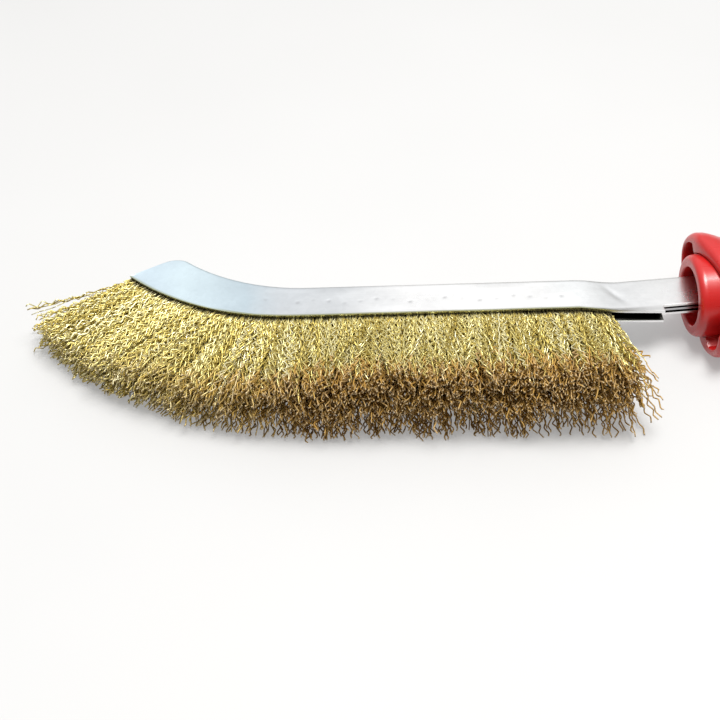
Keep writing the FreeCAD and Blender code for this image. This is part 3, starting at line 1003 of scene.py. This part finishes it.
def guard_and_grip(front, crest, off, rim):
    """Outline from the guard's front face over its crest and along the grip to the end."""
    crest_r = float(grip_radius(np.array([crest]), off)[0])
    nose_r = crest_r - NOSE_CREST
    line = [(front, max(rim + 0.6, rim + (nose_r - rim) * k)) for k in (0.4, 0.8)]
    turn = np.linspace(0, pi / 2, 14)
    edge = max(nose_r, rim + 0.7)
    line += [(front + (crest - front) * (1 - cos(t)), edge + (crest_r - edge) * sin(t)) for t in turn]
    grip_x = crest + (BODY_END_X - crest) * np.linspace(0, 1, 72)[1:]
    end_x = GRIP_END_X - (GRIP_END_X - BODY_END_X) * np.cos(np.linspace(0, pi / 2, 12))[1:]
    body_x = np.concatenate([grip_x, end_x])
    return line + list(zip(body_x, grip_radius(body_x, np.full_like(body_x, off))))


def handle_profile(angle):
    """Closed outline of the handle at one angle from the upper lobe, as x and radius."""
    off = min(abs(angle), abs(abs(angle) - pi))
    back = SADDLE_DEPTH * guard_saddle(angle) + GUARD_LEAN * (1 - cos(angle))
    front = LOBE_FRONT_X + back
    crest = GRIP[0, 0] + back
    pocket, rim = hollow(front, off)
    return np.array(bore_and_collar(front) + pocket + guard_and_grip(front, crest, off, rim))


def from_handle(x, across, up):
    """Brush-frame points from the handle's own: across along the guard, up square to it."""
    y = across * cos(GUARD_TURN) - up * sin(GUARD_TURN)
    z = across * sin(GUARD_TURN) + up * cos(GUARD_TURN)
    return swung(np.stack([x, y - HANDLE_DROP, z], -1))


def handle_points():
    """Outlines of the handle at every angle, flattened towards the end."""
    angles = np.arange(HANDLE_ANGLES) * 2 * pi / HANDLE_ANGLES
    rings = []
    for angle in angles:
        line = handle_profile((angle + pi) % (2 * pi) - pi)
        x = line[:, 0]
        up = line[:, 1] * sin(angle)
        flat = ramp(x, *TAB_X)
        limit = TAB_HALF - TAB_SOFTNESS * np.logaddexp(0, (TAB_HALF - np.abs(up)) / TAB_SOFTNESS)
        up = up * (1 - flat) + np.sign(up) * np.abs(limit) * flat
        rings.append(from_handle(x, line[:, 1] * cos(angle), up))
    return np.array(rings)


def turned_solid(name, line, steps=64):
    """A closed turned shape about Z from a list of (radius, z)."""
    angle = np.arange(steps) * 2 * pi / steps
    points = [(r * cos(a), r * sin(a), z) for a in angle for r, z in line]
    count = len(line)
    faces = []
    for i in range(steps):
        here, after = i * count, (i + 1) % steps * count
        faces += [(here + j, after + j, after + j + 1, here + j + 1) for j in range(count - 1)]
    mesh = bpy.data.meshes.new(name)
    mesh.from_pydata(points, [], faces)
    return mesh


def hanging_hole():
    """A turned solid that cuts the hanging hole and rounds its mouths."""
    turn = np.linspace(0, pi / 2, 7)
    mouth = [
        (HANG_R + HOLE_ROUND * (1 - cos(t)), TAB_HALF - HOLE_ROUND + HOLE_ROUND * sin(t))
        for t in turn
    ]
    above = TAB_HALF + 6
    upper = mouth + [(HANG_R + HOLE_ROUND, above), (0.0, above)]
    mesh = turned_solid("hole_cutter", [(r, -z) for r, z in reversed(upper)] + upper)
    points = np.array([v.co for v in mesh.vertices])
    placed = from_handle(points[:, 0] + HANG_X, points[:, 1], points[:, 2])
    mesh.vertices.foreach_set("co", in_row(placed).astype(np.float32).ravel())
    return mesh


def hole_cutter():
    """What is cut out of the handle: the hanging hole and the slot that holds the shank."""
    mesh = hanging_hole()
    work = bmesh.new()
    work.from_mesh(mesh)
    bmesh.ops.remove_doubles(work, verts=work.verts, dist=1e-7)
    low = (BORE_DEPTH - 1.5, SHANK_LOW_Y - CLEAR, -SHANK_HALF - CLEAR)
    high = (SOCKET_DEPTH, SPINE_Y + CLEAR, SHANK_HALF + CLEAR)
    for vert in bmesh.ops.create_cube(work, size=1.0)["verts"]:
        place = [low[k] if vert.co[k] < 0 else high[k] for k in range(3)]
        vert.co = Vector(in_row(swung(place)))
    bmesh.ops.recalc_face_normals(work, faces=work.faces)
    work.to_mesh(mesh)
    work.free()
    return linked("hole_cutter", mesh)


def handle_piece(material):
    """The handle: the outlines joined all round, with the slot and the hanging hole cut out."""
    rings = handle_points()
    count, length = rings.shape[:2]
    i = np.arange(count)[:, None] * length
    j = np.arange(length - 1)[None, :]
    after = (i + length) % (count * length)
    faces = np.stack([i + j, i + j + 1, after + j + 1, after + j], -1)
    faces = [tuple(map(int, f)) for f in faces.reshape(-1, 4)]
    points = in_row(rings.reshape(-1, 3))
    obj = mesh_object("handle_shell", points, faces, material, ["handle"])
    tidy_mesh(obj, 4e-6, radians(50))
    cutter = hole_cutter()
    cut = obj.modifiers.new("holes", "BOOLEAN")
    cut.operation = "DIFFERENCE"
    cut.solver = "EXACT"
    cut.object = cutter
    apply_modifiers(obj)
    bpy.data.objects.remove(cutter)
    tidy_mesh(obj, 1e-7, radians(50))
    return obj


# ---- stage, light and camera ----
FLOOR_HALF = 3.0            # metres
FLOOR_GLOW = 0.30           # light that the floor gives back, as a lit studio table does
TENT_WAY = (-0.25, 0.38, 0.89)
TENT = [                    # brightness from the side away from TENT_WAY, 0, to TENT_WAY, 1
    (0.0, (0.15, 0.13, 0.11)),
    (0.50, (0.25, 0.23, 0.20)),
    (0.74, (0.45, 0.44, 0.42)),
    (0.90, (1.0, 1.0, 1.0)),
    (1.0, (1.0, 1.0, 1.0)),
]
TENT_STRENGTH = 1.05
KEY_PLACE = (0.08, -0.08, 1.1)
KEY_SIZE = (0.6, 0.4)
KEY_WATTS = 20.0
LOOK_AT = (-121.26, -31.16, 0.0)    # millimetres from the brush frame's origin
CAMERA_DROP = radians(45.0)
CAMERA_YAW = radians(0.894)
CAMERA_ROLL = radians(0.132)
CAMERA_DISTANCE = 457.2     # millimetres
LENS = 65.95                # focal length on a 36 mm sensor


def diffuse_floor():
    """Pale matt table top with faint specks."""
    material, nodes, links, shader = new_material("pale_floor")
    speck = map_range(nodes, links, noise(nodes, links, 8, 2), 0.3, 0.7, 0.29, 0.30)
    both = nodes.new("ShaderNodeCombineColor")
    for name in ("Red", "Green", "Blue"):
        links.new(speck, both.inputs[name])
    links.new(both.outputs["Color"], shader.inputs["Base Color"])
    shader.inputs["Roughness"].default_value = 0.7
    shader.inputs["Emission Color"].default_value = (1, 1, 1, 1)
    shader.inputs["Emission Strength"].default_value = FLOOR_GLOW
    return material


def table_top():
    """The table top that the brush lies on."""
    corners = [(x * FLOOR_HALF, y * FLOOR_HALF, 0) for x, y in ((-1, -1), (1, -1), (1, 1), (-1, 1))]
    mesh = bpy.data.meshes.new("floor")
    mesh.from_pydata(corners, [], [(0, 1, 2, 3)])
    mesh.materials.append(diffuse_floor())
    linked("floor", mesh)


def area_light(name, place, target, size, power, colour):
    """A rectangular lamp that faces a target."""
    data = bpy.data.lights.new(name, "AREA")
    data.shape = "RECTANGLE"
    data.size, data.size_y = size
    data.energy = power
    data.color = colour
    obj = linked(name, data)
    obj.location = place
    obj.rotation_euler = (Vector(target) - Vector(place)).to_track_quat("-Z", "Y").to_euler()


def studio():
    """A bright tent of light from above and behind; the side towards the camera is darker."""
    world = bpy.data.worlds.new("studio")
    world.use_nodes = True
    nodes, links = world.node_tree.nodes, world.node_tree.links
    where = nodes.new("ShaderNodeTexCoord")
    facing = nodes.new("ShaderNodeVectorMath")
    facing.operation = "DOT_PRODUCT"
    facing.inputs[1].default_value = TENT_WAY
    links.new(where.outputs["Generated"], facing.inputs[0])
    share = map_range(nodes, links, facing.outputs["Value"], -1, 1, 0, 1)
    background = nodes["Background"]
    links.new(colour_ramp(nodes, links, share, TENT), background.inputs["Color"])
    background.inputs["Strength"].default_value = TENT_STRENGTH
    bpy.context.scene.world = world
    area_light("key", KEY_PLACE, (0, 0, 0), KEY_SIZE, KEY_WATTS, (1.0, 0.99, 0.97))
    bpy.context.scene.view_settings.view_transform = "Standard"


def camera():
    """Above and in front of the brush, looking down at 45 degrees."""
    target = Vector(PLACE[:3, 3]) + Vector(LOOK_AT) * MM
    level, fall = cos(CAMERA_DROP), -sin(CAMERA_DROP)
    forward = Vector((sin(CAMERA_YAW) * level, cos(CAMERA_YAW) * level, fall))
    right = Vector((cos(CAMERA_YAW), -sin(CAMERA_YAW), 0))
    up = right.cross(forward)
    turned_right = right * cos(CAMERA_ROLL) + up * sin(CAMERA_ROLL)
    turned_up = up * cos(CAMERA_ROLL) - right * sin(CAMERA_ROLL)
    data = bpy.data.cameras.new("camera")
    data.sensor_width = 36.0
    data.lens = LENS
    obj = linked("camera", data)
    axes = Matrix((turned_right, turned_up, -forward)).transposed().to_4x4()
    obj.matrix_world = Matrix.Translation(target - forward * (CAMERA_DISTANCE * MM)) @ axes
    bpy.context.scene.camera = obj


def main():
    """Sets the stage, then builds every piece."""
    camera()
    studio()
    table_top()
    # the sheet's tints along its length are painted reflection
    sheet = galvanised_steel("galvanised_sheet", (0.97, 0.97, 0.97), (0.88, 0.88, 0.88), PAINTED_REFLECTION_TINTS)
    strip = galvanised_steel("plain_strip", (0.62, 0.62, 0.62), (0.45, 0.45, 0.46), PLAIN_TINTS)
    # the channel's inside is painted near black as shade
    inside = galvanised_steel("channel_inside_painted_shade", (0.10, 0.10, 0.09), (0.05, 0.05, 0.045), PLAIN_TINTS)
    channel_piece(sheet, inside)
    core = frame["nodes"]["core_strip"]
    core.data.materials.clear()
    core.data.materials.append(strip)
    handle_piece(red_plastic())
    all_wires()


main()
